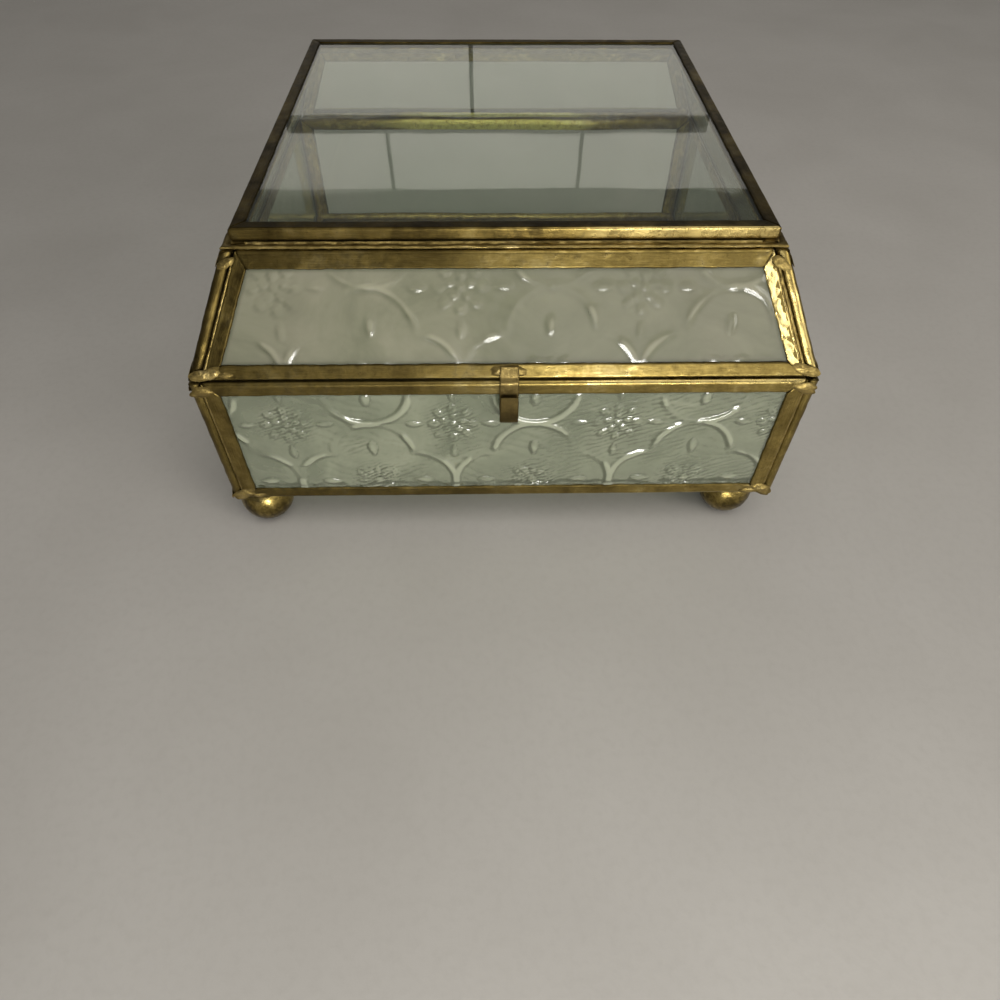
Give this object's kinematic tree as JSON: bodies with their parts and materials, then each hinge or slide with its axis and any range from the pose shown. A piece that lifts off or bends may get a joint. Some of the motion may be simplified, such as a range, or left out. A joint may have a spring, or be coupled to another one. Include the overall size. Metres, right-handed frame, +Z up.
{
  "type": "glass casket box",
  "caption": "Square casket box of brass-edged glass panes: figured sides, hipped hinged lid with a clear top, thumb tab and ball feet.",
  "frame": {"origin": "on the standing plane, under the middle of the base and its hinge and tab", "axes": "+Z up, -Y out of the front where the thumb tab is, +X to the right seen from the front"},
  "size_m": [0.1537, 0.16, 0.0874],
  "materials": {
    "came_brass": "aged satin",
    "solder": "lumpy, brass washed",
    "foot_brass": "worn polish",
    "hinge_brass": "aged satin",
    "hinge_wire": "drawn wire",
    "tab_brass": "aged satin",
    "figured_glass": "figured on the outer face",
    "clear_glass": "plain float"
  },
  "bodies": {
    "base": {"base_front_glass": "figured_glass", "base_rear_glass": "clear_glass", "base_left_glass": "figured_glass", "base_right_glass": "figured_glass", "base_bottom_glass": "clear_glass", "base_front_came": "came_brass", "base_rear_came": "came_brass", "base_left_came": "came_brass", "base_right_came": "came_brass", "base_bottom_came": "came_brass", "base_corner_solder": "solder", "base_bottom_solder": "solder", "foot_front_left": "foot_brass", "foot_front_right": "foot_brass", "foot_rear_left": "foot_brass", "foot_rear_right": "foot_brass", "foot_solder": "solder", "hinge_base_tubes": "hinge_brass", "hinge_base_solder": "solder", "hinge_pin": "hinge_wire"},
    "lid": {"lid_front_glass": "figured_glass", "lid_rear_glass": "clear_glass", "lid_left_glass": "figured_glass", "lid_right_glass": "figured_glass", "lid_top_glass": "clear_glass", "lid_front_came": "came_brass", "lid_rear_came": "came_brass", "lid_left_came": "came_brass", "lid_right_came": "came_brass", "lid_top_came": "came_brass", "lid_hip_solder": "solder", "lid_top_solder": "solder", "hinge_lid_tube": "hinge_brass", "hinge_lid_solder": "solder", "lid_tab": "tab_brass", "lid_tab_solder": "solder"}
  },
  "joints": [
    {"name": "lid_hinge", "type": "hinge", "parent": "base", "child": "lid", "pos_m": [0, 0.0784, 0.05646], "axis": [-1, 0, 0], "range_deg": [0, 110]}
  ]
}
